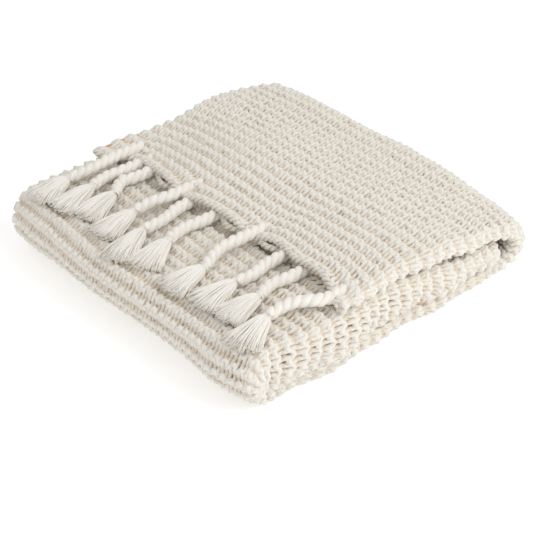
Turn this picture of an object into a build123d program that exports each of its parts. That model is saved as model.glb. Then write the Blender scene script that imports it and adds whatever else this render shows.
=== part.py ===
"""Folded throw blanket: a knitted panel with a row of corded tassels on each short end.

The panel is folded in three across its width, as a letter is, into one long strip: its middle
third lies inside, its outer third on top, and one of the two long sides of the strip is a fold
round all the layers. The strip is folded three times along its length: a bottom run, a left turn, an upper run, a small turn inside,
an inner run that stops half way, and over everything the top flap, which comes up from the
bottom run round the right turn and ends in a row of tassels.
X runs across the fold lines, Y along them and Z up. The origin is the centre of the
footprint, on the surface that the blanket lies on.
"""
import os
from math import pi, radians, tan

from build123d import *

os.makedirs("parts", exist_ok=True)

# Driving dimensions, mm
PILE_LENGTH = 445
PILE_DEPTH = 424
LAYERS = 3
LEFT_HEIGHT = 76
RIGHT_HEIGHT = 78
FLAP_TOP = 100
STRIP_THICKNESS = 24
RIGHT_THICKNESS = 22
SLIP = 0.5
NEAR_ROUND = 12
FAR_ROUND = 8

# Tassels, mm
CORD_DIAMETER = 13
NECK_DIAMETER = 8
BINDING_LENGTH = 6
BRUSH_WIDTH = 23
BRUSH_THICKNESS = 8
RIM_DIAMETER = 7.5

# Stations along X where the strips change slope or turn
LEFT_TURN_X = -PILE_LENGTH / 2 + LEFT_HEIGHT / 2
CREST_X = 20
NOSE_X = 160
RIGHT_TURN_X = PILE_LENGTH / 2 - RIGHT_HEIGHT / 2
FLAP_EDGE_X = -74
INNER_END_X = -62

HALF_DEPTH = PILE_DEPTH / 2
RUN_NEAR = -HALF_DEPTH + NEAR_ROUND
RUN_FAR = HALF_DEPTH - FAR_ROUND
NOSE_LOW = RIGHT_THICKNESS + 0.25
NOSE_HIGH = RIGHT_HEIGHT - RIGHT_THICKNESS - 0.75
NOSE_MIDDLE = (NOSE_LOW + NOSE_HIGH) / 2

# Each run of the strip: its stations, and the height of its two faces at each of them.
# The first face of a run is the one that the outer layer of the strip lies on.
BOTTOM = ((LEFT_TURN_X, 0, STRIP_THICKNESS), (RIGHT_TURN_X, 0, RIGHT_THICKNESS))
UPPER = (
    (LEFT_TURN_X, LEFT_HEIGHT, LEFT_HEIGHT - STRIP_THICKNESS),
    (CREST_X, LEFT_HEIGHT - 2, LEFT_HEIGHT - 2 - STRIP_THICKNESS),
    (NOSE_X, NOSE_HIGH, NOSE_MIDDLE),
)
INNER = (
    (INNER_END_X, STRIP_THICKNESS + 0.5, LEFT_HEIGHT - STRIP_THICKNESS - 2),
    (CREST_X, STRIP_THICKNESS + 0.25, LEFT_HEIGHT - STRIP_THICKNESS - 2.5),
    (NOSE_X, NOSE_LOW, NOSE_MIDDLE),
)
FLAP = (
    (FLAP_EDGE_X, FLAP_TOP, LEFT_HEIGHT + SLIP),
    (CREST_X, FLAP_TOP, LEFT_HEIGHT - 2 + SLIP),
    (RIGHT_TURN_X, RIGHT_HEIGHT, RIGHT_HEIGHT - RIGHT_THICKNESS),
)

# Tassels of the flap, from the far side to the near one: the place of the root on the edge,
# its height class, where the cord ends and where the tip of the brush lies.
HIGH_ROOT = 92
LOW_ROOT = 83.5
LYING = LEFT_HEIGHT + SLIP + CORD_DIAMETER / 2 + 0.5
ROOT_X = FLAP_EDGE_X - RIM_DIAMETER - CORD_DIAMETER / 2 - 1.5
TASSELS = (
    ("tassel_1", HIGH_ROOT, 175, (-147, 179), (-184, 171)),
    ("tassel_2", LOW_ROOT, 151, (-136, 147), (-176, 137)),
    ("tassel_3", LOW_ROOT, 130, (-126, 118), (-166, 109)),
    ("tassel_4", HIGH_ROOT, 66, (-131, 74), (-172, 66)),
    ("tassel_5", LOW_ROOT, 48, (-146, 38), (-186, 22)),
    ("tassel_6", LOW_ROOT, 9, (-137, 5), (-176, -9)),
    ("tassel_7", HIGH_ROOT, -51, (-140, -61), (-179, -63)),
    ("tassel_8", LOW_ROOT, -99, (-132, -103), (-172, -106)),
    ("tassel_9", LOW_ROOT, -134, (-129, -138), (-168, -141)),
    ("tassel_10", HIGH_ROOT, -193, (-146, -170), (-185, -182)),
)
TASSEL_PITCH = 127
INNER_TASSELS = 11
INNER_CORD_LENGTH = 74
INNER_BRUSH_LENGTH = 40


def face_line(run, share):
    """The line through the run's stations at a share of the way from its first face."""
    return [(x, first + share * (second - first)) for x, first, second in run]


def layer_between(run, share_in, share_out, near, far):
    """One stretch of the strip's thickness, from side to side."""
    with BuildPart() as layer:
        with BuildSketch(Plane.XZ.offset(-far)):
            with BuildLine():
                outline = face_line(run, share_in) + face_line(run, share_out)[::-1]
                Polyline(*outline, close=True)
            make_face()
        extrude(amount=far - near)
    return layer.part


def side_fold(run, share_in, share_out, edge_y, reach):
    """The rounded fold along one side of a run, from one layer of it round to another."""
    side = 1 if edge_y > 0 else -1
    with BuildPart() as fold:
        for (x, face), (_, other) in zip(face_line(run, share_in), face_line(run, share_out)):
            half = abs(face - other) / 2
            level = (face + other) / 2
            with BuildSketch(Plane.YZ.offset(x)):
                with Locations((edge_y, level)):
                    Ellipse(reach, half)
                with Locations((edge_y - side * reach, level)):
                    Rectangle(2 * reach, 4 * half, mode=Mode.SUBTRACT)
        loft(ruled=True)
    return fold.part


def save(part, label):
    """Labels a finished piece and writes it to its own file."""
    part.label = label
    export_step(part, f"parts/{label}.step")


def make_run(run, label):
    """The three layers of one run, and the folds that join them along its two sides."""
    third = 1 / LAYERS
    save(layer_between(run, 0, third, RUN_NEAR, HALF_DEPTH), f"{label}_outer_layer")
    save(layer_between(run, third, 2 * third, RUN_NEAR, RUN_FAR), f"{label}_middle_layer")
    save(layer_between(run, 2 * third, 1, RUN_NEAR, RUN_FAR), f"{label}_inner_layer")
    save(side_fold(run, 0, 1, RUN_NEAR, NEAR_ROUND), f"{label}_near_side_fold")
    save(side_fold(run, third, 1, RUN_FAR, FAR_ROUND), f"{label}_far_side_fold")


def turn(center, outer_radius, inner_radius, side):
    """One layer of a turn: a half ring with its axis along Y, closed on the given side."""
    with BuildPart() as ring:
        with BuildSketch(Plane.XZ.offset(-HALF_DEPTH)):
            with Locations(center):
                Circle(outer_radius)
                Circle(inner_radius, mode=Mode.SUBTRACT)
            with Locations((center[0] - side * PILE_LENGTH / 2, center[1])):
                Rectangle(PILE_LENGTH, PILE_LENGTH, mode=Mode.SUBTRACT)
        extrude(amount=PILE_DEPTH)
    return ring.part


def make_turn(label, center, outer_radius, thickness, side):
    """The three layers of the strip where it turns, one inside another."""
    step = thickness / LAYERS
    rings = [
        turn(center, outer_radius - i * step, outer_radius - (i + 1) * step + 0.2, side)
        for i in range(LAYERS)
    ]
    with BuildPart() as fold:
        for ring in rings:
            add(ring)
    save(fold.part, label)


def make_nose():
    """The turn inside the right one, where the upper run becomes the inner run."""
    with BuildPart() as nose:
        with BuildSketch(Plane.XZ.offset(-RUN_FAR)):
            with Locations((NOSE_X, NOSE_MIDDLE)):
                Circle((NOSE_HIGH - NOSE_LOW) / 2)
            with Locations((NOSE_X - PILE_LENGTH / 2, NOSE_MIDDLE)):
                Rectangle(PILE_LENGTH, PILE_LENGTH, mode=Mode.SUBTRACT)
        extrude(amount=RUN_FAR - RUN_NEAR)
    save(nose.part, "inner_turn")


def make_inner_run():
    """The run that ends inside the pile: three layers in one node."""
    third = 1 / LAYERS
    with BuildPart() as inner:
        for i in range(LAYERS):
            add(layer_between(INNER, i * third, (i + 1) * third - 0.01, RUN_NEAR, RUN_FAR))
    save(inner.part, "inner_run_layers")


def rim(x, z, near, far):
    """A bound-off edge: a round bar along Y."""
    with BuildPart() as bar:
        with BuildSketch(Plane.XZ.offset(-far)):
            with Locations((x, z)):
                Circle(RIM_DIAMETER / 2)
        extrude(amount=far - near)
    return bar.part


def make_flap_rims():
    """The bound-off edge of each layer of the flap, one over another."""
    first, second = FLAP[0][1], FLAP[0][2]
    for i, label in enumerate(("outer", "middle", "inner")):
        z = first + (i + 0.5) / LAYERS * (second - first)
        far = HALF_DEPTH if i == 0 else RUN_FAR
        save(rim(FLAP_EDGE_X - RIM_DIAMETER / 2, z, RUN_NEAR, far), f"flap_{label}_rim")


def make_inner_rim():
    """The bound-off edges of the end that lies inside the pile, as one node."""
    first, second = INNER[0][1], INNER[0][2]
    with BuildPart() as rims:
        for i in range(LAYERS):
            z = first + (i + 0.5) / LAYERS * (second - first)
            add(rim(INNER_END_X - RIM_DIAMETER / 2, z, RUN_NEAR, RUN_FAR))
    save(rims.part, "inner_end_rims")


def tassel_route(root_y, root_z, cord_end):
    """The cord's points: out of the edge, down to the run below it, and along that."""
    end_x, end_y = cord_end
    span = end_x - ROOT_X
    drift = end_y - root_y
    sag = root_z - LYING
    shares = ((0, 0, 0), (0.34, 0.22, 0.45), (0.67, 0.62, 0.9), (1, 1, 1))
    return [(ROOT_X + a * span, root_y + b * drift, root_z - c * sag) for a, b, c in shares]


def cord_tube(points, label):
    """A plain tube along straight runs joined by tangent arcs. Prints each arc's radius."""
    corners = [Vector(*p) for p in points]
    radii = []
    for before, corner, after in zip(corners, corners[1:], corners[2:]):
        arriving, leaving = corner - before, after - corner
        turned = radians(arriving.get_angle(leaving))
        radii.append(0.45 * min(arriving.length, leaving.length) / tan(turned / 2))
    with BuildPart() as cord:
        with BuildLine():
            route = FilletPolyline(*points, radius=radii)
        with BuildSketch(Plane(origin=route @ 0, z_dir=route % 0)):
            Circle(CORD_DIAMETER / 2)
        sweep()
    length = route.length
    expected = pi * CORD_DIAMETER**2 / 4 * length
    print(label, "radii", [round(r) for r in radii], "length", round(length, 1),
          "volume ratio", round(cord.part.volume / expected, 4))
    return cord.part, route @ 1, route % 1


def along(origin, direction):
    """The plane across a tassel at a point, with its X level and its Y upwards."""
    level = Vector(0, 0, 1).cross(direction)
    return Plane(origin=origin, x_dir=level, z_dir=direction)


def binding(plane):
    """The thread wound round the neck between cord and brush."""
    with BuildPart() as wound:
        with BuildSketch(plane):
            Circle(NECK_DIAMETER / 2)
        extrude(amount=BINDING_LENGTH)
    return wound.part


def brush(neck, tip_point):
    """The loose yarns as one closed form, narrow at the neck and wide and flat at the tip."""
    start = neck.origin + neck.z_dir * BINDING_LENGTH
    reach = Vector(*tip_point) - start
    tip = along(Vector(*tip_point), reach.normalized())
    middle = along(start + reach * 0.5, reach.normalized())
    with BuildPart() as yarns:
        with BuildSketch(Plane(origin=start, x_dir=neck.x_dir, z_dir=neck.z_dir)):
            Ellipse(NECK_DIAMETER / 2, NECK_DIAMETER / 2 - 0.5)
        with BuildSketch(middle):
            Ellipse(BRUSH_WIDTH * 0.4, BRUSH_THICKNESS / 2)
        with BuildSketch(tip):
            Ellipse(BRUSH_WIDTH / 2, BRUSH_THICKNESS / 2 - 0.5)
        loft()
    return yarns.part


def make_tassel(label, root_z, root_y, cord_end, tip):
    """One tassel of the flap: cord, binding and brush."""
    tube, end, direction = cord_tube(tassel_route(root_y, root_z, cord_end), label)
    save(tube, f"{label}_cord")
    neck = along(end, direction)
    save(binding(neck), f"{label}_binding")
    save(brush(neck, (*tip, LYING - 1.5)), f"{label}_brush")


def make_inner_tassels():
    """The tassels of the end inside the pile, lying straight, one node for each kind of piece."""
    spacing = TASSEL_PITCH / LAYERS
    first_y = RUN_NEAR + spacing / 4
    z = LEFT_HEIGHT / 2
    cords, bindings, brushes = [], [], []
    for i in range(INNER_TASSELS):
        y = first_y + i * (RUN_FAR - RUN_NEAR - spacing / 2) / (INNER_TASSELS - 1)
        start = Vector(INNER_END_X - RIM_DIAMETER - 0.5, y, z)
        plane = along(start, Vector(-1, 0, 0))
        with BuildPart() as cord:
            with BuildSketch(plane):
                Circle(CORD_DIAMETER / 2)
            extrude(amount=INNER_CORD_LENGTH)
        neck = along(start + Vector(-INNER_CORD_LENGTH, 0, 0), Vector(-1, 0, 0))
        tip = neck.origin + Vector(-BINDING_LENGTH - INNER_BRUSH_LENGTH, 0, 0)
        cords.append(cord.part)
        bindings.append(binding(neck))
        brushes.append(brush(neck, (tip.X, tip.Y, tip.Z)))
    for pieces, label in ((cords, "cords"), (bindings, "bindings"), (brushes, "brushes")):
        with BuildPart() as group:
            for piece in pieces:
                add(piece)
        save(group.part, f"inner_tassel_{label}")


make_run(BOTTOM, "bottom_run")
make_run(UPPER, "upper_run")
make_run(FLAP, "flap")
make_turn("left_turn", (LEFT_TURN_X, LEFT_HEIGHT / 2), LEFT_HEIGHT / 2, STRIP_THICKNESS, -1)
make_turn("right_turn", (RIGHT_TURN_X, RIGHT_HEIGHT / 2), RIGHT_HEIGHT / 2, RIGHT_THICKNESS, 1)
make_nose()
make_inner_run()
make_flap_rims()
make_inner_rim()
for tassel in TASSELS:
    make_tassel(*tassel)
make_inner_tassels()
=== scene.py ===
"""Folded throw blanket: garter-knitted cotton, bound-off edge and twisted-cord tassels."""

import bpy
import numpy as np
from mathutils import Matrix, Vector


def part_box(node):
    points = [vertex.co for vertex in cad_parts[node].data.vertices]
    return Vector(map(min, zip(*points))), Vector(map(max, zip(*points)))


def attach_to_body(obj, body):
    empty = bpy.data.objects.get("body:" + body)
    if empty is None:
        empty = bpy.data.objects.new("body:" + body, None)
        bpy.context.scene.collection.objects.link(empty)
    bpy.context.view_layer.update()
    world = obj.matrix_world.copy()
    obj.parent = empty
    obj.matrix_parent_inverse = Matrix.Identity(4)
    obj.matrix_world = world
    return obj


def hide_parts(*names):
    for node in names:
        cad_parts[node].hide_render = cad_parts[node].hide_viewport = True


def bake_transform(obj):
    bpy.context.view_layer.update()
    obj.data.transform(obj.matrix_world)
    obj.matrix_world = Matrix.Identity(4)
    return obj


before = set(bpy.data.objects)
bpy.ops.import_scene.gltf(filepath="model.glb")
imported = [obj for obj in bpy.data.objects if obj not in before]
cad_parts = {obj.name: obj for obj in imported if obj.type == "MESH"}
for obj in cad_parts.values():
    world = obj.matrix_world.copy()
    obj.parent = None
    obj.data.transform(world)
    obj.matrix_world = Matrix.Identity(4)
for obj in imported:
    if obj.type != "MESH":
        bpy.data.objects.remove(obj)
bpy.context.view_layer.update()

MM = 0.001

# Knit, in millimetres. A stitch is the pitch along a yarn and a row is the pitch between yarns.
STITCH = 10.4
ROW = 8.4
YARN = 2.85
LOOP_HEIGHT = 7.0
LOOP_FLARE = 1.2
LOOP_RISE = 2.9
FIRST_ROW = 2.5
# Samples per stitch and sides of a yarn: where it is looked at closely, and where it is hidden.
STEPS, COARSE_STEPS = 10, 8
SIDES, COARSE_SIDES = 6, 5
# How far the cloth's middle lies inside the outer line, and the sheet of painted shade below it.
INSET = 4.2
SHADE_SHEET_DEPTH, FLAT_SHADE_SHEET_DEPTH = 3.4, 1.5
# Distance round a side fold, half of it, and how much more it is where the fold is tallest.
FOLD = 31.2
HALF_FOLD = 15.6
TALLER = 20.8
# How much thicker a yarn is drawn on the sides, the shift of a row's own texture from the row
# before it and the texture's step on a sheet in metres, and the lowest that a yarn may lie.
FULLER_ON_SIDES = 0.2
ROW_SHIFT, SHEET_STEP = 0.013, 0.008
LOWEST, LOWEST_SHEET = 0.25, 1.0

# Strip of folded cloth, in millimetres, read from the frame.
right_low, right_high = (np.array(c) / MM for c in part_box("right_turn"))
left_low, left_high = (np.array(c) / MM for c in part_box("left_turn"))
flap_low, flap_high = (np.array(c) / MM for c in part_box("flap_outer_layer"))
RIGHT_X, RIGHT_R = right_low[0], (right_high[2] - right_low[2]) / 2
LEFT_X, LEFT_R = left_high[0], (left_high[2] - left_low[2]) / 2
EDGE_X, FLAP_TOP = flap_low[0], flap_high[2]
NOSE_X, NOSE_Z, NOSE_R = 160.0, 38.75, 12.3
INNER_RUN_END = 45
NEAR_Y, FAR_Y = -199.0, 203.0
WIDTH = FAR_Y - NEAR_Y
FULL = WIDTH + FOLD
ROUND = 2 * WIDTH + FOLD
# How far the near fold and the far fold reach out, on the flap, the runs and the inner turn.
FLAP_REACH, RUN_REACH, NOSE_REACH = (8, 6), (8.5, 7), (8, 7)
CLOSED, OPEN = 0.03, 1
NOSE_CREASE = 0.6

# Tassels: name, height and place of the root on the edge, end of the cord, tip of the brush.
HIGH_ROOT, LOW_ROOT, LYING = 89.5, 84.0, 84.5
ROOT_X = -89.5
TASSELS = (
    ("tassel_1", HIGH_ROOT, 175, (-147, 179), (-184, 171)),
    ("tassel_2", LOW_ROOT, 151, (-136, 147), (-176, 137)),
    ("tassel_3", LOW_ROOT, 130, (-126, 118), (-166, 109)),
    ("tassel_4", HIGH_ROOT, 66, (-131, 74), (-172, 66)),
    ("tassel_5", LOW_ROOT, 48, (-146, 38), (-186, 22)),
    ("tassel_6", LOW_ROOT, 9, (-137, 5), (-176, -9)),
    ("tassel_7", HIGH_ROOT, -51, (-140, -61), (-179, -63)),
    ("tassel_8", LOW_ROOT, -99, (-132, -103), (-172, -106)),
    ("tassel_9", LOW_ROOT, -134, (-129, -138), (-168, -141)),
    ("tassel_10", HIGH_ROOT, -193, (-146, -170), (-185, -182)),
)
HIDDEN_ROOT = 46.0
BRUSH_STRETCH = 1.3
PLY_RADIUS, PLY_HELIX, PLY_PITCH = 5.2, 2.2, 21.0
STRANDS_SEEN, STRANDS_HIDDEN = 320, 40
BRUSH_WIDTH, BRUSH_THICKNESS = 22.0, 7.0
STRAND_RADIUS = 0.85
# How far each cord bows sideways and upward between its root and its end.
BOWS = ((-3, 2), (5, 0), (9, 0), (4, 2), (-5, 0), (4, 1), (5, 3), (-5, 0), (5, 1), (10, 5))

# The flap's bound-off edge from the near side to the far one: y, x.
EDGE_LINE = np.array([
    (-214, -84), (-201, -82), (-182, -72), (-160, -64), (-141, -64), (-124, -65), (-103, -60),
    (-82, -57), (-66, -60), (-50, -67), (-32, -67), (6, -66), (28, -68), (50, -72), (70, -71),
    (103, -66), (136, -63), (159, -60), (175, -68), (187, -80), (200, -88), (214, -88)])
# Where the high tassels draw that edge down.
PINCHES = (175, 66, -51, -193)
# Slump: how far the lower left end is drawn in at each y, and the far side pushed out at each x.
PULL = np.array([(-205, 16), (-160, 19), (-100, 21), (-60, 23), (0, 26), (60, 22), (130, 18),
                 (170, 10), (205, 5)])
FAR_SIDE = np.array([(-222, -3), (-170, 5), (-100, 1), (-47, -2), (-10, -8), (34, -9), (80, 3),
                     (120, 13), (150, 15), (175, 9), (200, 2), (222, -6)])


def smooth(x, start, end):
    """Cubic step from 0 at start to 1 at end."""
    t = np.clip((x - start) / (end - start), 0, 1)
    return t * t * (3 - 2 * t)


def arc(x, z, radius, start, end, count):
    """Points on a circle in the XZ plane, from one angle in degrees to another."""
    angle = np.radians(np.linspace(start, end, count))
    return np.c_[x + radius * np.cos(angle), z + radius * np.sin(angle)]


def run(xs, zs):
    """Points of a nearly straight line, from its x and z."""
    return np.c_[xs, zs]


def inner_x(x):
    """The inner line's x on the runs: drawn left towards the left turn."""
    return x - 13 * np.exp(-(x - LEFT_X) / 32)


def run_crease(x):
    """The near crease on the runs: closed at the left and open at the right."""
    return CLOSED + 0.97 * smooth(x, -90, 0)


def travelled(line):
    """How far along a line each of its points is."""
    return np.concatenate([[0], np.cumsum(np.linalg.norm(np.diff(line, axis=0), axis=1))])


def make_strip():
    """The strip's outer and inner lines in the XZ plane, station by station along it, with the
    reach of its near and far folds, how deep the crease behind the near fold is, and the distance
    round each fold. Gives the length along the outer line, the table, and where each part ends."""
    parts = []

    def add(outer, inner, reach, crease, wall):
        n = len(outer)
        parts.append(np.c_[outer, inner, np.broadcast_to(reach[0], n), np.broadcast_to(reach[1], n),
                           np.broadcast_to(crease, n), np.broadcast_to(wall, n)])

    top, under = FLAP_TOP - INSET, 80.2
    x = np.linspace(EDGE_X, RIGHT_X, 110)
    fall = smooth(x, 25, RIGHT_X + 12)
    add(run(x, top - (top - 2 * RIGHT_R + INSET) * fall), run(x, under - (under - 60.2) * fall),
        FLAP_REACH, OPEN, FOLD)
    add(arc(RIGHT_X, RIGHT_R, RIGHT_R - INSET, 90, -90, 50)[1:],
        arc(RIGHT_X, RIGHT_R, 21, 90, -90, 50)[1:], FLAP_REACH, OPEN, FOLD)
    x = np.linspace(RIGHT_X, LEFT_X, 150)
    add(run(x, np.full(150, INSET))[1:], run(inner_x(x), 20 + 5.5 * smooth(-x, 0, 70))[1:],
        RUN_REACH, run_crease(x)[1:], (FOLD + STITCH * smooth(-x, 40, 170))[1:])
    turn = np.linspace(0, 1, 50)[1:]
    add(arc(LEFT_X, LEFT_R, LEFT_R - INSET, -90, -270, 50)[1:],
        np.c_[LEFT_X - 13 - 4 * np.sin(np.pi * turn), 25.5 + 10 * np.sin(np.pi * turn)],
        RUN_REACH, CLOSED, FOLD + STITCH + STITCH * smooth(turn, 0, 1))
    x = np.linspace(LEFT_X, NOSE_X, 150)
    high = 2 * LEFT_R - INSET
    add(run(x, high - (high - NOSE_Z - NOSE_R) * smooth(x, -10, NOSE_X))[1:],
        run(inner_x(x),
            25.5 + 1.5 * smooth(x, -70, 0) + (NOSE_Z - 27) * smooth(x, 40, NOSE_X))[1:],
        RUN_REACH, run_crease(x)[1:], (FOLD + TALLER - TALLER * smooth(x, 40, NOSE_X))[1:])
    add(arc(NOSE_X, NOSE_Z, NOSE_R, 90, -90, 26)[1:],
        np.tile((NOSE_X, NOSE_Z), (25, 1)), NOSE_REACH, NOSE_CREASE, FOLD)
    x = np.linspace(NOSE_X, INNER_RUN_END, 60)
    add(run(x, np.linspace(NOSE_Z - NOSE_R, 27, 60))[1:],
        run(x, NOSE_Z + (28 - NOSE_Z) * smooth(-x, -NOSE_X, -INNER_RUN_END))[1:],
        NOSE_REACH, NOSE_CREASE, FOLD)
    table = np.concatenate(parts)
    length = travelled(table[:, :2])
    ends = np.cumsum([len(p) for p in parts]) - 1
    return length, table, length[ends]


STRIP_S, STRIP, ENDS = make_strip()
FLAP_END, TURN_END, BOTTOM_END, LEFT_END, UPPER_END, _, INNER_END = ENDS

edge_y = np.arange(-214, 215, 1.0)
edge_raw = np.interp(edge_y, EDGE_LINE[:, 0], EDGE_LINE[:, 1])
kernel = np.exp(-np.linspace(-2, 2, 15) ** 2)
edge_smooth = np.convolve(np.pad(edge_raw, 7, mode="edge"), kernel / kernel.sum(), mode="valid")


def edge_x(y):
    """The bound-off edge's x at each y."""
    return np.interp(y, edge_y, edge_smooth)


def pinch(y):
    """1 where a high tassel draws the edge down, 0 between."""
    return sum(np.exp(-((y - c) / 17.0) ** 2) for c in PINCHES)


def edge_drop(y):
    """How far the bound-off edge hangs at the high tassels and arches between them."""
    return 3.5 - 7.0 * np.clip(pinch(y), 0, 1)


def settle(p):
    """How the whole pile has slumped: rounded corners, a bulging right end, wavy sides and a
    softly uneven top, as displacements that are smooth functions of place."""
    x, y, z = p[..., 0].copy(), p[..., 1].copy(), p[..., 2].copy()
    height = np.clip(z / 100, 0, 1)
    corner = smooth(np.abs(y), 150, 222)
    dx = 7 * np.exp(-((y + 30) / 75) ** 2) * smooth(x, 120, 222)
    dx -= 15 * corner * smooth(x, 120, 222) * smooth(-y, -400, 100)
    dx += 9 * corner * smooth(-x, 150, 222)
    dx -= 3 * np.sin(y / 41 + 0.6) * smooth(-x, 120, 222)
    far = np.interp(x, FAR_SIDE[:, 0], FAR_SIDE[:, 1])
    dy = far * smooth(y, 60, 208) * (0.35 + 0.65 * height)
    near = 2.6 * np.sin(x / 27 + 1.4) + 1.8 * np.sin(x / 12.5 - z / 17) + 2.5 * np.sin(x / 61)
    dy += near * smooth(-y, 100, 208)
    low = np.clip(1 - z / 76, 0, 1)
    pull = np.interp(y, PULL[:, 0], PULL[:, 1])
    dx += (pull * low ** 1.2 * smooth(-x, 140, 215)
           + 5 * corner * smooth(-x, 150, 222) * smooth(-y, 0, 200))
    dx += 5 * np.exp(-((y - 8) / 32) ** 2) * smooth(x, 140, 222)
    dy += 9 * np.clip(1 - z / 45, 0, 1) * smooth(-y, 150, 208)
    lift = (1.4 * np.sin(x / 38 + y / 70) + 1.1 * np.sin(y / 31 - x / 90)
            + 0.7 * np.sin(x / 19 + y / 23))
    dz = lift * smooth(z, 20, 90) - 2.0 * smooth(np.abs(y), 165, 212) * height
    dz -= 0.6 * np.clip(z - 78, 0, None) * smooth(y, 70, 205) * smooth(-x, -80, 30)
    dz -= 6 * smooth(x, 140, 222) * smooth(z, 30, 78) * smooth(-y, 70, 170)
    return np.stack([x + dx, y + dy, z + dz], axis=-1)


def surface(s, q):
    """The cloth's middle surface. s runs along the strip. q runs round its section: the outer face
    for 0 to WIDTH, the near fold below 0 and the far fold past WIDTH, each a half ellipse from the
    outer line to the inner one, then the inner face."""
    row = [np.interp(s, STRIP_S, STRIP[:, k]) for k in range(8)]
    outer = np.stack([row[0], row[1]], axis=-1)
    inner = np.stack([row[2], row[3]], axis=-1)
    reach_near, reach_far, crease, wall = row[4:]
    near = np.clip(-q / wall, 0, 1) * np.pi
    far = np.clip((q - WIDTH) / wall, 0, 1) * np.pi
    turned = near + far
    lift = (1 + np.cos(turned)) / 2
    bulge = np.where(turned > np.pi / 2, 1 - crease * (1 - np.sin(turned)), np.sin(turned))
    past_near = np.clip(-q - wall, 0, None)
    past_far = np.clip(q - WIDTH - wall, 0, None)
    y = NEAR_Y + np.clip(q, 0, WIDTH) + past_near - past_far
    step = np.sin(turned * 1.5) ** 2
    y = (y - reach_near * bulge * (near > 0)
         + reach_far * (0.45 + 0.55 * step) * np.sin(turned) * (far > 0))
    xz = inner + lift[..., None] * (outer - inner)
    point = np.stack([xz[..., 0], y, xz[..., 1]], axis=-1)
    on_flap = np.clip(1 - s / FLAP_END, 0, 1)
    close = np.exp(-s / 42.0) * (on_flap > 0)
    point[..., 0] += (edge_x(y) - EDGE_X) * close
    point[..., 2] += ((edge_drop(y) * np.exp(-s / 26.0) - 5.5 * np.exp(-s / 34.0))
                      * (on_flap > 0) * lift)
    return settle(point)


def place(s, q, height):
    """Point at a height above the cloth's middle surface, and the surface's normal there, from
    central differences of the surface."""
    e = 1.5
    along = surface(s + e, q) - surface(s - e, q)
    across = surface(s, q + e) - surface(s, q - e)
    normal = unit(np.cross(along, across))
    return surface(s, q) + normal * height[..., None], normal


def unit(v):
    """Vectors along the last axis, scaled to length 1."""
    return v / np.maximum(np.linalg.norm(v, axis=-1, keepdims=True), 1e-9)


def tube(line, facing, radius, sides, taper=None):
    """Rings of a tube round each line: centre + radius (cos v side + sin v up), where side is the
    tangent crossed with facing. line is strands x samples x 3; gives the rings, and sin v, which is
    how high each of a ring's points stands."""
    tangent = unit(np.gradient(line, axis=1))
    side = unit(np.cross(tangent, facing))
    up = np.cross(side, tangent)
    v = np.arange(sides) * 2 * np.pi / sides
    r = radius if taper is None else radius * taper[..., None, None]
    ring = line[:, :, None] + r * (np.cos(v)[:, None] * side[:, :, None]
                                   + np.sin(v)[:, None] * up[:, :, None])
    return ring, np.sin(v)


class Lot:
    """Tubes gathered for one piece, and the mesh made of them."""

    def __init__(self):
        self.points, self.quads, self.caps, self.uv, self.rise = [], [], [], [], []
        self.count = 0

    def add(self, ring, length, rise):
        """Takes rings as strands x samples x sides x 3, with the length along each strand in metres
        and the height of each point in millimetres, from which the painted shade is read."""
        strands, n, sides = ring.shape[:3]
        index = self.count + np.arange(strands * n * sides).reshape(strands, n, sides)
        a, b = index[:, :-1], index[:, 1:]
        self.quads.append(np.stack([a, b, np.roll(b, -1, 2), np.roll(a, -1, 2)], -1).reshape(-1, 4))
        u0 = np.broadcast_to(length[:, :-1, None], a.shape)
        u1 = np.broadcast_to(length[:, 1:, None], a.shape)
        v0 = np.broadcast_to(np.arange(sides) / sides, a.shape)
        v1 = v0 + 1 / sides
        corners = [np.stack(pair, -1) for pair in ((u0, v0), (u1, v0), (u1, v1), (u0, v1))]
        self.uv.append(np.stack(corners, -2).reshape(-1, 2))
        self.caps.append(np.concatenate([index[:, 0], index[:, -1, ::-1]]))
        self.points.append(ring.reshape(-1, 3))
        self.rise.append(np.broadcast_to(rise, ring.shape[:3]).reshape(-1))
        self.count += strands * n * sides

    def mesh(self, name, finish):
        """One mesh object of all the tubes, closed at their ends and kept just above the floor."""
        points = np.concatenate(self.points)
        points[:, 2] = np.maximum(points[:, 2], LOWEST)
        quads = np.concatenate(self.quads)
        sides = {c.shape[1] for c in self.caps}
        caps = [np.concatenate([c for c in self.caps if c.shape[1] == k]) for k in sorted(sides)]
        loops = np.concatenate([quads.reshape(-1)] + [c.reshape(-1) for c in caps])
        totals = np.concatenate([np.full(len(quads), 4)]
                                + [np.full(len(c), c.shape[1]) for c in caps])
        starts = np.concatenate([[0], np.cumsum(totals)[:-1]])
        uv = np.concatenate(self.uv)
        uv = np.concatenate([uv, np.zeros((len(loops) - len(uv), 2))])
        return build(name, points, loops, starts, totals, uv, finish, np.concatenate(self.rise))


def build(name, points, loops, starts, totals, uv, finish, rise):
    """A mesh object from whole arrays, in metres, smooth shaded."""
    mesh = bpy.data.meshes.new(name)
    mesh.vertices.add(len(points))
    mesh.vertices.foreach_set("co", (points * MM).astype(np.float32).reshape(-1))
    mesh.loops.add(len(loops))
    mesh.loops.foreach_set("vertex_index", loops.astype(np.int32))
    mesh.polygons.add(len(totals))
    mesh.polygons.foreach_set("loop_start", starts.astype(np.int32))
    mesh.polygons.foreach_set("loop_total", totals.astype(np.int32))
    mesh.polygons.foreach_set("use_smooth", np.ones(len(totals), bool))
    mesh.update(calc_edges=True)
    layer = mesh.uv_layers.new(name="UVMap")
    layer.data.foreach_set("uv", uv.astype(np.float32).reshape(-1))
    # The rise attribute: each point's height, from which the painted shade is read.
    attribute = mesh.attributes.new("rise", "FLOAT", "POINT")
    attribute.data.foreach_set("value", rise.astype(np.float32))
    mesh.validate()
    obj = bpy.data.objects.new(name, mesh)
    bpy.context.scene.collection.objects.link(obj)
    obj.data.materials.append(finish)
    return obj


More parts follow.
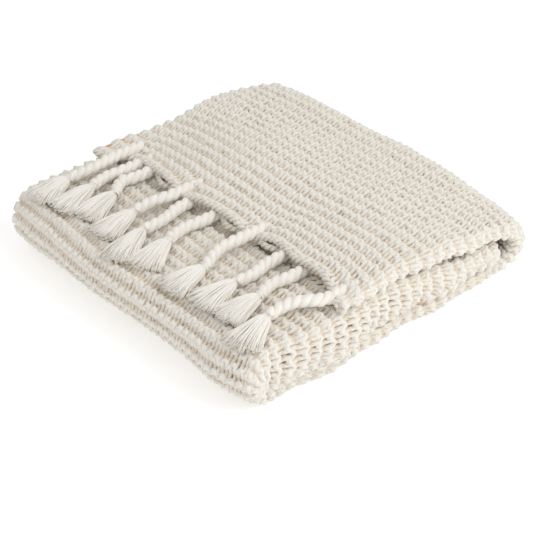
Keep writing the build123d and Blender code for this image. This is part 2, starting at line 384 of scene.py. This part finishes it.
def grid(name, points, finish):
    """An open sheet from a grid of points, with UV in metres, at an even step, along and across
    it."""
    n, m = points.shape[:2]
    index = np.arange(n * m).reshape(n, m)
    quads = np.stack([index[:-1, :-1], index[1:, :-1], index[1:, 1:], index[:-1, 1:]], -1)
    quads = quads.reshape(-1, 4)
    flat = points.reshape(-1, 3)
    uv = np.stack(np.meshgrid(np.arange(n), np.arange(m), indexing="ij"), -1)
    uv = uv.reshape(-1, 2) * SHEET_STEP
    return build(name, flat, quads.reshape(-1), np.arange(len(quads)) * 4, np.full(len(quads), 4),
                 uv[quads.reshape(-1)], finish, np.zeros(len(flat)))


# ---- Materials -------------------------------------------------------------------------------

WORN, FLECK = (0.78, 0.68, 0.52, 1), (0.62, 0.54, 0.42, 1)


def group(name, inputs, outputs):
    """A node group with its sockets, and its input and output nodes."""
    tree = bpy.data.node_groups.new(name, "ShaderNodeTree")
    for label, kind, value in inputs:
        socket = tree.interface.new_socket(label, in_out="INPUT", socket_type=kind)
        socket.default_value = value
    for label, kind in outputs:
        tree.interface.new_socket(label, in_out="OUTPUT", socket_type=kind)
    return tree, tree.nodes.new("NodeGroupInput"), tree.nodes.new("NodeGroupOutput")


def node(tree, kind, **values):
    """A new node with its properties set."""
    made = tree.nodes.new(kind)
    for key, value in values.items():
        setattr(made, key, value)
    return made


def fill(made, values):
    """Sets a node's inputs by name."""
    for label, value in values.items():
        made.inputs[label].default_value = value


def maths(tree, operation, a, b=None):
    """The output of a math node; each value is a number or a socket."""
    made = node(tree, "ShaderNodeMath", operation=operation)
    for socket, value in zip(made.inputs, (a, b)):
        if value is None:
            continue
        if isinstance(value, (int, float)):
            socket.default_value = value
        else:
            tree.links.new(value, socket)
    return made.outputs[0]


def mix(tree, factor, a, b):
    """The output of a colour mix; each value is a colour or a socket."""
    made = node(tree, "ShaderNodeMix", data_type="RGBA")
    for socket, value in ((made.inputs[0], factor), (made.inputs[6], a), (made.inputs[7], b)):
        if isinstance(value, tuple):
            socket.default_value = value
        else:
            tree.links.new(value, socket)
    return made.outputs[2]


def make_strands():
    """Cotton strands on a yarn: fine ridges that wind round it, and loose fibres. UV x is metres
    along the yarn and UV y is turns round it."""
    tree, given, out = group("cotton_strands", [
        ("Strands", "NodeSocketFloat", 7.0), ("Turns per metre", "NodeSocketFloat", 60.0),
        ("Fibre Scale", "NodeSocketFloat", 900.0)],
        [("Height", "NodeSocketFloat"), ("Fleck", "NodeSocketFloat")])
    uv = node(tree, "ShaderNodeUVMap", uv_map="UVMap")
    split = node(tree, "ShaderNodeSeparateXYZ")
    tree.links.new(uv.outputs[0], split.inputs[0])
    along = maths(tree, "MULTIPLY", split.outputs[0], given.outputs["Turns per metre"])
    about = maths(tree, "MULTIPLY", split.outputs[1], given.outputs["Strands"])
    wave = maths(tree, "SINE", maths(tree, "MULTIPLY", maths(tree, "ADD", along, about), 6.2832))
    where = node(tree, "ShaderNodeTexCoord")
    fibre = node(tree, "ShaderNodeTexNoise")
    tree.links.new(where.outputs["Object"], fibre.inputs["Vector"])
    tree.links.new(given.outputs["Fibre Scale"], fibre.inputs["Scale"])
    fill(fibre, {"Detail": 3})
    height = maths(tree, "ADD", maths(tree, "MULTIPLY", wave, 0.35), fibre.outputs[0])
    tree.links.new(height, out.inputs["Height"])
    tree.links.new(fibre.outputs[0], out.inputs["Fleck"])
    return tree


def make_depth_shade():
    """Painted warm shade low down between the yarns, from the rise attribute in millimetres, with
    slow uneven patches."""
    tree, given, out = group("knit_painted_depth_shade", [
        ("Light", "NodeSocketColor", (1, 1, 1, 1)), ("Painted Shade", "NodeSocketColor", (0.5, 0.4, 0.3, 1)),
        ("Low", "NodeSocketFloat", -6.0), ("High", "NodeSocketFloat", 1.0)],
        [("Color", "NodeSocketColor")])
    rise = node(tree, "ShaderNodeAttribute", attribute_name="rise")
    ramp = node(tree, "ShaderNodeMapRange")
    tree.links.new(rise.outputs["Fac"], ramp.inputs[0])
    tree.links.new(given.outputs["Low"], ramp.inputs[1])
    tree.links.new(given.outputs["High"], ramp.inputs[2])
    patches = node(tree, "ShaderNodeTexNoise")
    fill(patches, {"Scale": 14, "Detail": 2})
    where = node(tree, "ShaderNodeTexCoord")
    tree.links.new(where.outputs["Object"], patches.inputs["Vector"])
    # Painted shade: a darker warm colour where the yarn lies low, the light colour where it stands
    # high.
    lit = mix(tree, ramp.outputs[0], given.outputs["Painted Shade"], given.outputs["Light"])
    worn = maths(tree, "MULTIPLY", patches.outputs[0], 0.16)
    tree.links.new(mix(tree, worn, lit, WORN), out.inputs["Color"])
    return tree


def cotton(name, light, painted_shade, low, high, strands, turns, bump):
    """A cotton finish: painted shade by depth and strand bump on a rough, softly sheened surface.
    """
    material = bpy.data.materials.new(name)
    material.use_nodes = True
    tree = material.node_tree
    shader = tree.nodes["Principled BSDF"]
    fill(shader, {"Roughness": 0.92, "Specular IOR Level": 0.25, "Sheen Weight": 0.25,
                  "Sheen Roughness": 0.6, "Sheen Tint": (1, 0.97, 0.92, 1)})
    # Painted shade: a darker warm colour where the yarn, ply or strand lies low.
    depth = node(tree, "ShaderNodeGroup", node_tree=DEPTH)
    fill(depth, {"Light": light, "Painted Shade": painted_shade, "Low": low, "High": high})
    yarn = node(tree, "ShaderNodeGroup", node_tree=STRANDS)
    fill(yarn, {"Strands": strands, "Turns per metre": turns})
    fleck = mix(tree, maths(tree, "MULTIPLY", yarn.outputs["Fleck"], 0.12), depth.outputs[0],
                FLECK)
    tree.links.new(fleck, shader.inputs["Base Color"])
    raised = node(tree, "ShaderNodeBump")
    fill(raised, {"Strength": bump, "Distance": 0.0006})
    tree.links.new(yarn.outputs["Height"], raised.inputs["Height"])
    tree.links.new(raised.outputs[0], shader.inputs["Normal"])
    return material


STRANDS, DEPTH = make_strands(), make_depth_shade()
# The second colour of each finish is painted shade where its yarns, plies, strands or thread lie
# low.
KNIT = cotton("knitted_cotton_yarn", light=(0.875, 0.847, 0.787, 1), painted_shade=(0.59, 0.395, 0.20, 1),
              low=-3.2, high=3.2, strands=6, turns=90, bump=0.5)
# One flat tan of painted shade, for the sheet seen between the yarns.
SHADE_SHEET_FINISH = cotton("painted_shade_between_yarns", light=(0.78, 0.63, 0.44, 1), painted_shade=(0.78, 0.63, 0.44, 1),
                low=-1, high=1, strands=6, turns=90, bump=0.4)
CORD = cotton("twisted_cord_cotton", light=(0.965, 0.94, 0.89, 1), painted_shade=(0.82, 0.66, 0.46, 1),
              low=-4.2, high=-0.6, strands=6, turns=120, bump=0.5)
THREAD = cotton("binding_thread_cotton", light=(0.90, 0.875, 0.82, 1), painted_shade=(0.7, 0.6, 0.47, 1),
                low=-3, high=0, strands=3, turns=300, bump=0.3)
LOOSE = cotton("loose_cotton_yarn", light=(0.975, 0.955, 0.91, 1), painted_shade=(0.92, 0.86, 0.76, 1),
               low=-6, high=4, strands=2, turns=400, bump=0.3)


# ---- Knit ------------------------------------------------------------------------------------

def stitches(lot, rows, first, last, steps, sides, scale):
    """Garter rows between two places round the section. One row is one yarn:
    along the row a = STITCH t + flare sin 4 pi t, across it b = row - height cos 2 pi t, and up
    h = rise (0.05 - cos 2 pi t - 0.12 cos 4 pi t), turned over on every second row. Each half
    stitch is a little uneven, and the rows wander slowly."""
    begin, end = round(2 * first / STITCH) / 2, round(2 * last / STITCH) / 2
    t = begin + np.arange(int((end - begin) * steps) + 1) / steps
    turn = 2 * np.pi * t
    knots = np.arange(begin, end + 1.001, 0.5)
    for j in rows:
        noise = np.random.default_rng(1000 + j).normal(0, 1, (4, len(knots)))
        loose = [np.interp(t, knots, n) for n in noise]
        kind = 1 if j % 2 else -1
        a = STITCH * t + LOOP_FLARE * np.sin(2 * turn) * (1 + 0.25 * loose[0]) + 0.55 * loose[1]
        b = ROW * (j + 1) - LOOP_HEIGHT * np.cos(turn) * (1 + 0.05 * loose[0]) + 0.5 * loose[2]
        a = a + 1.6 * np.sin(b / 47 + a / 83) + 1.0 * np.sin(b / 21 - a / 59)
        b = b + 1.8 * np.sin(a / 52 + b / 110)
        h = kind * LOOP_RISE * (0.05 - np.cos(turn) - 0.12 * np.cos(2 * turn)) * scale
        h = h + 0.3 * loose[3]
        b = np.clip(b, FIRST_ROW, INNER_END)
        line, normal = place(b, a, h)
        on_side = smooth(-a, 2, 14) + smooth(a - WIDTH, 2, 14) * (a < FULL + 10)
        ring, up = tube(line[None], normal[None], YARN * scale ** 0.3, sides,
                        1 + FULLER_ON_SIDES * on_side[None])
        length = travelled(line) * MM
        # Each point's height over the cloth is its rise, so low yarn gets painted shade.
        lot.add(ring, length[None] + j * ROW_SHIFT, h[None, :, None] + YARN * up[None, None])


def rows_between(start, end):
    """The numbers of the rows between two places along the strip."""
    j = np.arange(0, 200)
    at = ROW * (j + 1)
    return [int(k) for k in j[(at > start) & (at <= end)]]


def shade_sheet_below(name, start, end, first, last, depth):
    """A tan sheet of painted shade just below the yarns' middle, seen only between them."""
    s = np.linspace(max(start, FIRST_ROW), end, max(3, int((end - start) / 6)))
    q = np.linspace(first, last, max(3, int((last - first) / 7)))
    s, q = np.meshgrid(s, q, indexing="ij")
    points, _ = place(s, q, np.full(s.shape, -depth))
    points[..., 2] = np.maximum(points[..., 2], LOWEST_SHEET)
    return grid(name, points, SHADE_SHEET_FINISH)


SECTIONS = (
    # name, where it starts and ends along the strip, from and to round the section, scale, body
    ("flap_top", 0, FLAP_END, -FOLD, WIDTH + HALF_FOLD, 1.0, "flap"),
    ("flap_under", 0, FLAP_END, WIDTH + HALF_FOLD, ROUND, 1.0, "flap"),
    ("right_turn_outside", FLAP_END, TURN_END, -FOLD, WIDTH + HALF_FOLD, 1.0, "turn"),
    ("right_turn_inside", FLAP_END, TURN_END, WIDTH + HALF_FOLD, ROUND, 1.0, "turn"),
    ("bottom_run", TURN_END, BOTTOM_END, -FOLD - STITCH, FULL + STITCH, 0.8, "pile"),
    ("left_turn", BOTTOM_END, LEFT_END, -FOLD - TALLER, FULL + TALLER, 1.0, "pile"),
    ("upper_run", LEFT_END, UPPER_END, -FOLD - TALLER, FULL + TALLER, 1.0, "pile"),
    ("nose", UPPER_END, INNER_END, -FOLD, FULL, 1.0, "pile"),
)
REPLACED = {
    "flap_top": ("flap_outer_layer", "flap_near_side_fold", "flap_far_side_fold",
                 "flap_middle_layer"),
    "flap_under": ("flap_inner_layer",),
    "right_turn_outside": ("right_turn",),
    "bottom_run": ("bottom_run_outer_layer", "bottom_run_middle_layer", "bottom_run_inner_layer",
                   "bottom_run_near_side_fold", "bottom_run_far_side_fold"),
    "left_turn": ("left_turn",),
    "upper_run": ("upper_run_outer_layer", "upper_run_middle_layer", "upper_run_inner_layer",
                  "upper_run_near_side_fold", "upper_run_far_side_fold"),
    "nose": ("inner_turn",),
}


def attach(obj, body):
    """Rides on one body; a "turn" piece keeps its place, its transform baked into its mesh."""
    if body == "turn":
        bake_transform(obj)
    else:
        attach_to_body(obj, body)


HIDDEN_SECTIONS = ("bottom_run", "flap_under", "right_turn_inside")
PIECES = {}
for name, start, end, first, last, scale, body in SECTIONS:
    lot = Lot()
    side_count = COARSE_SIDES if name in HIDDEN_SECTIONS else SIDES
    step_count = COARSE_STEPS if name in HIDDEN_SECTIONS + ("upper_run",) else STEPS
    stitches(lot, rows_between(start, end), first, last, step_count, side_count, scale)
    yarn = lot.mesh(name + "_yarn", KNIT)
    # Under the yarns, a sheet of painted shade that shows through the holes.
    shade_sheet = shade_sheet_below(name + "_shade_sheet", start, end, first, last,
                        SHADE_SHEET_DEPTH if name != "bottom_run" else FLAT_SHADE_SHEET_DEPTH)
    for obj in (yarn, shade_sheet):
        attach(obj, body)
    PIECES[name] = (yarn, shade_sheet)
    if name in REPLACED:
        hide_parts(*REPLACED[name])


# ---- Ropes: rims and tassels -----------------------------------------------------------------

def spline(points):
    """Points along the NURBS spline of order 3 that a cord's route controls."""
    curve = bpy.data.curves.new("route", "CURVE")
    curve.dimensions = "3D"
    line = curve.splines.new("NURBS")
    line.points.add(len(points) - 1)
    line.points.foreach_set("co", np.c_[np.array(points, float), np.ones(len(points))].reshape(-1))
    line.order_u = 3
    line.use_endpoint_u = True
    line.resolution_u = 16
    holder = bpy.data.objects.new("route", curve)
    mesh = bpy.data.meshes.new_from_object(holder)
    found = np.zeros(len(mesh.vertices) * 3)
    mesh.vertices.foreach_get("co", found)
    bpy.data.meshes.remove(mesh)
    bpy.data.objects.remove(holder)
    bpy.data.curves.remove(curve)
    return found.reshape(-1, 3)


def spaced(line, step):
    """The line again, with points step apart."""
    along = travelled(line)
    at = np.linspace(0, along[-1], max(4, int(along[-1] / step) + 1))
    return np.stack([np.interp(at, along, line[:, k]) for k in range(3)], axis=1), at


def rope(lot, line, ply_radius, helix, pitch, sides, step, phase=0.0, ripple=0.0, raised=0.0):
    """Two plies wound round a line: centre + helix (cos w side + sin w up), w = 2 pi (length /
    pitch + ply / 2) + phase. Ripple is how much a ply's thickness varies, and raised is added to
    the height that the painted shade in the grooves is read from."""
    plies = 2
    line, at = spaced(line, step)
    tangent = unit(np.gradient(line, axis=0))
    side = unit(np.cross(tangent, (0, 0, 1.0)))
    up = np.cross(side, tangent)
    angle = 2 * np.pi * (at[None] / pitch + np.arange(plies)[:, None] / plies) + phase
    centre = line[None] + helix * (np.cos(angle)[..., None] * side
                                   + np.sin(angle)[..., None] * up)
    facing = unit(centre - line[None])
    share = 1 + ripple * (0.7 * np.sin(2.3 * angle + 1.1) + 0.5 * np.sin(0.71 * angle))
    ring, _ = tube(centre, facing, ply_radius, sides, share)
    # Depth below the ply's top, from which the painted shade in the grooves is read.
    rise = (np.linalg.norm(ring - line[None, :, None], axis=-1) - helix - ply_radius)
    length = np.broadcast_to(at * MM, angle.shape)
    lot.add(ring, length, rise + raised)


def rim_line(y, dx, z, height_share):
    """A line along the flap's bound-off edge at a height, following its waves."""
    return settle(np.stack([edge_x(y) + dx, y, z + height_share * edge_drop(y)], -1))


# Three chains along the flap's edge. The middle one bulges in three rolls, and the lower two draw
# back from a hollow near the near side. Each has its line, ply radius and helix radius.
# The chains' raised height keeps them mostly out of the painted shade.
RIM_TWIST = {"pitch": 13.0, "sides": 7, "step": 1.8, "ripple": 0.2, "raised": 3.0}
rim_y = np.linspace(-203, 207, 160)
hollow = np.exp(-((rim_y + 160) / 14) ** 2)
rolls = sum(np.exp(-((rim_y - c) / 15) ** 2) for c in (100, -18, -76))
RIMS = (
    ("flap_outer_rim", rim_line(rim_y, -0.5, FLAP_TOP - INSET - 5.6, 1.0), 2.7, 2.1),
    ("flap_middle_rim", rim_line(rim_y, 3.5 - 10 * rolls, 84.8 + 2.2 * hollow, 0.3), 2.6, 1.9),
    ("flap_inner_rim", rim_line(rim_y, 5.0 + 2 * np.sin(rim_y / 23 + 1) + 16 * hollow, 80.4, 0.0),
     2.6, 1.6),
)
for name, line, ply, helix in RIMS:
    lot = Lot()
    rope(lot, line, ply, helix, **RIM_TWIST)
    if name == "flap_outer_rim":
        for first in (-FOLD - 4, WIDTH - 4):
            round_fold = surface(3.0, np.linspace(first, first + FOLD + 8, 40))
            rope(lot, round_fold, ply, helix, **RIM_TWIST)
    rim = lot.mesh(name + "_chain", KNIT)
    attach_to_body(rim, "flap")
    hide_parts(name)


def brush_strands(lot, neck, tip, count, rng, droop):
    """Loose yarns from the binding to the tip: each leaves a small disc and fans out; its length
    varies a little. With droop they follow the left turn down and stay above it."""
    neck_width, neck_thickness = 3.6, 3.2
    neck, tip = np.array(neck, float), np.array(tip, float)
    ahead = unit(tip - neck)
    side = unit(np.cross(ahead, (0, 0, 1.0)))
    reach = np.linalg.norm(tip - neck)
    t = np.linspace(0, 1, 7)
    turn, radius = rng.uniform(0, 2 * np.pi, count), np.sqrt(rng.uniform(0, 1, count))
    across, rise = radius * np.cos(turn), radius * np.sin(turn)
    length = reach * rng.uniform(0.86, 1.1, count) * (1 - 0.10 * across ** 2)
    fan = 0.45 * t ** 0.5 + 0.55 * t ** 1.3
    spread = (neck_width + (BRUSH_WIDTH - neck_width) * fan)[None] * across[:, None]
    fullness = np.sin(np.pi * np.clip(t * 1.1, 0, 1)) ** 0.8
    swell = (neck_thickness + (BRUSH_THICKNESS - neck_thickness) * fullness)[None] * rise[:, None]
    curl = (rng.normal(0, 1.3, (count, 1)) * (t ** 2)[None]
            + 0.8 * np.sin(7 * t[None] + turn[:, None]) * t[None])
    line = (neck + (length[:, None] * t[None])[..., None] * ahead
            + (spread + curl)[..., None] * side
            + swell[..., None] * np.array([0, 0, 1.0]))
    if droop:
        past = np.clip(LEFT_X - 4 - line[..., 0], 0, LEFT_R - 1)
        fall = LEFT_R - np.sqrt(LEFT_R ** 2 - past ** 2)
        line[..., 2] -= fall + 1.5 * t[None] ** 2
        line[..., 2] = np.maximum(line[..., 2], 2 * LEFT_R + 2.6 - fall + 0.6 * rise[:, None])
    taper = np.broadcast_to(1 - 0.25 * t, (count, len(t)))
    ring, _ = tube(line, (0.02, 0.03, 1.0), STRAND_RADIUS, 4, taper)
    # Each point's height in the brush is its rise, so the lower strands get painted shade.
    lot.add(ring, np.broadcast_to(t * reach * MM, (count, len(t))),
            swell[:, :, None] + np.zeros(4))


def tassel_route(root_y, root_z, cord_end, bow):
    """The cord's points: hidden in the edge, out of it, down to the run below and along that,
    bowed sideways and upward."""
    end_x, end_y = cord_end
    span, drift, sag = end_x - ROOT_X, end_y - root_y, root_z - LYING
    shares = ((0, 0, 0), (0.34, 0.22, 0.45), (0.67, 0.62, 0.9), (1, 1, 1))
    lead = [(ROOT_X + HIDDEN_ROOT, root_y, root_z),
            (ROOT_X + HIDDEN_ROOT / 2, root_y, root_z + 0.6)]
    bent = (0, 0.8, 0.8, 0)
    return lead + [
        (ROOT_X + a * span, root_y + b * drift + w * bow[0], root_z - c * sag + w * bow[1])
        for (a, b, c), w in zip(shares, bent)]


def make_tassel(label, route, tip, rng, count=STRANDS_SEEN, droop=True):
    """Cord of two plies, a binding wound five times round its end and a brush of loose yarns."""
    line = spline(route)
    lot = Lot()
    rope(lot, line, PLY_RADIUS, PLY_HELIX, PLY_PITCH, sides=10, step=1.8, phase=rng.uniform(0, 6),
         ripple=0.1)
    cord = lot.mesh(label + "_rope", CORD)
    end, ahead = line[-1], unit(line[-1] - line[-3])
    turns, thread_length, thread_radius = 5, 0.13, 0.8
    around = np.linspace(0, 1, 60)
    turn = around * 2 * np.pi * turns
    side = unit(np.cross(ahead, (0, 0, 1.0)))
    up = np.cross(side, ahead)
    wound = (end + np.outer(around * 6 - 1.0, ahead)
             + 5.0 * np.cos(turn)[:, None] * side + 4.6 * np.sin(turn)[:, None] * up)
    outward = unit(wound - end - np.outer((wound - end) @ ahead, ahead))
    lot = Lot()
    ring, _ = tube(wound[None], outward[None], thread_radius, 6)
    lot.add(ring, (around * thread_length)[None], np.zeros((1, 1, 1)))
    binding = lot.mesh(label + "_winding", THREAD)
    lot = Lot()
    brush_strands(lot, end + ahead, np.array((*tip, end[2] - 1.0)), count, rng, droop)
    brush = lot.mesh(label + "_loose_yarns", LOOSE)
    return cord, binding, brush


for number, (label, root_z, root_y, cord_end, tip) in enumerate(TASSELS):
    rng = np.random.default_rng(200 + number)
    route = tassel_route(root_y, root_z, cord_end, BOWS[number])
    tip = np.array(cord_end) + BRUSH_STRETCH * (np.array(tip) - np.array(cord_end))
    cord, binding, brush = make_tassel(label, route, tip, rng)
    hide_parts(label + "_cord")
    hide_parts(label + "_binding")
    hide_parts(label + "_brush")
    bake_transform(cord)
    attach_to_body(binding, label)
    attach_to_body(brush, label)

# The other end, inside the pile: its cloth, three rim chains and eleven tassels.
inner_low, _ = (np.array(c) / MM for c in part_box("inner_run_layers"))
INNER_LEVEL, RIM_GAP, MARGIN = 37, 7, 3
x, y = np.meshgrid(np.linspace(inner_low[0] + 2, INNER_RUN_END, 20),
                   np.linspace(NEAR_Y + MARGIN, FAR_Y - MARGIN, 40), indexing="ij")
inner_z = INNER_LEVEL + 1.2 * np.sin(x / 11) * np.sin(y / 13)
# The inner run's cloth as one sheet, coloured the flat tan of painted shade.
inner_sheet = grid("inner_run_shade_sheet", np.stack([x, y, inner_z], -1), SHADE_SHEET_FINISH)
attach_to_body(inner_sheet, "pile")
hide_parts("inner_run_layers")
lot = Lot()
inner_y = np.linspace(-198, 200, 90)
for level in (INNER_LEVEL - RIM_GAP, INNER_LEVEL, INNER_LEVEL + RIM_GAP):
    line = np.stack([np.full(90, inner_low[0] - 1), inner_y, np.full(90, float(level))], -1)
    rope(lot, line, 2.9, 1.9, 15.0, sides=6, step=3)
inner_rim = lot.mesh("inner_end_rim_chains", KNIT)
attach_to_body(inner_rim, "pile")
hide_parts("inner_end_rims")
inner_cords_low, inner_cords_high = (np.array(c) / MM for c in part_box("inner_tassel_cords"))
inner_ys = np.linspace(inner_cords_low[1] + 6.5, inner_cords_high[1] - 6.5, 11)
for number, y0 in enumerate(inner_ys):
    rng = np.random.default_rng(400 + number)
    label = f"inner_tassel_{number + 1}"
    route = [(-56, y0, 38), (-82, y0, 38.4), (-110, y0 + 1, 38), (-140, y0, 38)]
    cord, binding, brush = make_tassel(label, route, (-178, y0 + rng.uniform(-4, 4)), rng,
                                       count=STRANDS_HIDDEN, droop=False)
    for obj in (cord, binding, brush):
        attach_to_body(obj, "pile")
    if number == 0:
        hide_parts("inner_tassel_cords")
        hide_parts("inner_tassel_bindings")
        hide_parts("inner_tassel_brushes")

# Each stretch's yarns and sheet, taken again from PIECES; the loop does nothing with them.
for name, start, end, first, last, scale, body in SECTIONS:
    yarn, shade_sheet = PIECES[name]

# ---- Floor, light, camera --------------------------------------------------------------------

bpy.ops.mesh.primitive_plane_add(size=14, location=(0, 0, -0.0003))
floor = bpy.context.object
floor.name = "floor"
paper = bpy.data.materials.new("white_paper")
paper.use_nodes = True
fill(paper.node_tree.nodes["Principled BSDF"], {
    "Base Color": (0.75, 0.75, 0.75, 1), "Emission Color": (1, 1, 1, 1),
    "Emission Strength": 0.42, "Roughness": 1, "Specular IOR Level": 0})
floor.data.materials.append(paper)

world = bpy.data.worlds.new("studio")
bpy.context.scene.world = world
world.use_nodes = True
fill(world.node_tree.nodes["Background"], {"Color": (1, 1, 1, 1), "Strength": 0.70})

AZIMUTH, ELEVATION = np.radians(-40.84), np.radians(33.96)
CAMERA_DISTANCE, TARGET_HEIGHT = 1.8737, 0.0351
back = np.array([np.sin(AZIMUTH) * np.cos(ELEVATION), -np.cos(AZIMUTH) * np.cos(ELEVATION),
                 np.sin(ELEVATION)])
right = np.array([np.cos(AZIMUTH), np.sin(AZIMUTH), 0])
upward = np.cross(back, right)


def lamp(name, toward, distance, size, energy):
    """A square soft white light that looks at the pile from a direction."""
    data = bpy.data.lights.new(name, "AREA")
    data.shape, data.size, data.energy = "SQUARE", size, energy
    obj = bpy.data.objects.new(name, data)
    bpy.context.scene.collection.objects.link(obj)
    z = unit(np.array(toward, float))
    x = unit(np.cross((0, 0, 1.0), z))
    turn = np.c_[x, np.cross(z, x), z]
    matrix = np.eye(4)
    matrix[:3, :3], matrix[:3, 3] = turn, z * distance
    obj.matrix_world = Matrix(matrix.tolist())


lamp("key_light", (0.30, -0.80, 0.82), 2.4, 1.3, 18)
lamp("fill_light", (-0.35, -0.35, 1.0), 2.6, 1.8, 5)

camera = bpy.data.objects.new("camera", bpy.data.cameras.new("camera"))
bpy.context.scene.collection.objects.link(camera)
camera.data.lens, camera.data.sensor_width = 110.5, 36
camera.data.shift_x, camera.data.shift_y = -0.0017, -0.0632
pose = np.eye(4)
pose[:3, :3] = np.c_[right, upward, back]
pose[:3, 3] = back * CAMERA_DISTANCE + np.array([0, 0, TARGET_HEIGHT])
camera.matrix_world = Matrix(pose.tolist())
bpy.context.scene.camera = camera
bpy.context.scene.view_settings.view_transform = "Standard"

bpy.context.view_layer.update()
